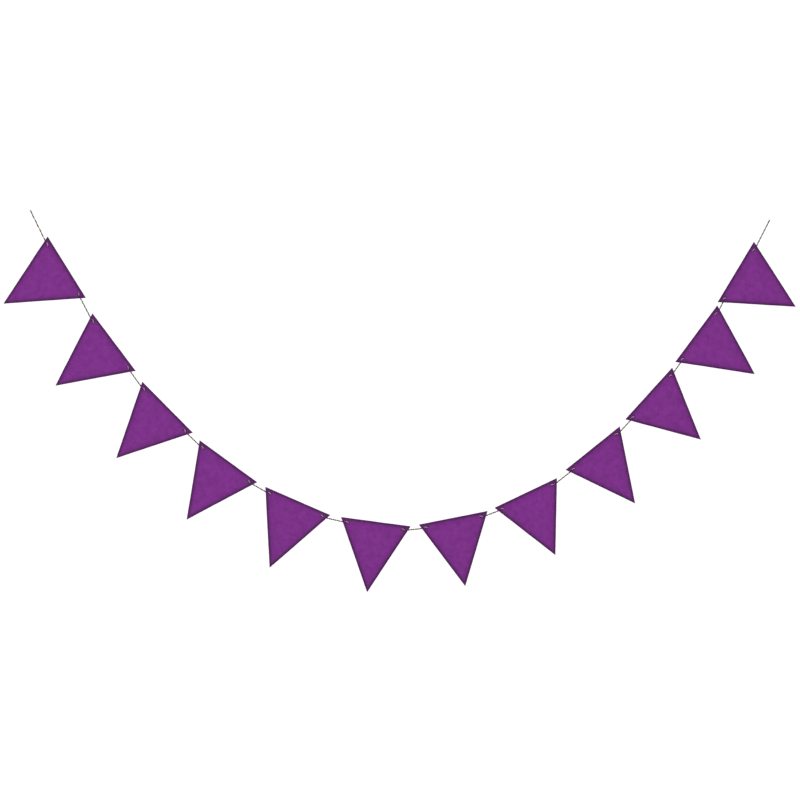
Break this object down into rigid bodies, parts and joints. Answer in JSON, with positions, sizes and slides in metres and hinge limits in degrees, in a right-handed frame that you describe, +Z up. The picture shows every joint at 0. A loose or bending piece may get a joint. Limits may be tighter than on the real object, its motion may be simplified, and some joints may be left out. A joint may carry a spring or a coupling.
{
  "type": "fabric bunting",
  "caption": "Purple felt bunting: triangular flags with plain cut edges, caught by small corner stitches on a thin two-tone twine that hangs in a deep curve between free ends.",
  "frame": {"origin": "middle of the twine's left end, where it is tied up", "axes": "+X towards the twine's right end, +Y from the front of the flags to the back, +Z up"},
  "size_m": [1.6896, 0.0135, 0.8152],
  "materials": {
    "felt": "matt needled felt",
    "twine": "matt two-ply twist"
  },
  "bodies": {
    "root": {"flag_01": "felt", "flag_02": "felt", "flag_03": "felt", "flag_04": "felt", "flag_05": "felt", "flag_06": "felt", "flag_07": "felt", "flag_08": "felt", "flag_09": "felt", "flag_10": "felt", "flag_11": "felt", "flag_12": "felt", "twine": "twine"}
  },
  "joints": []
}
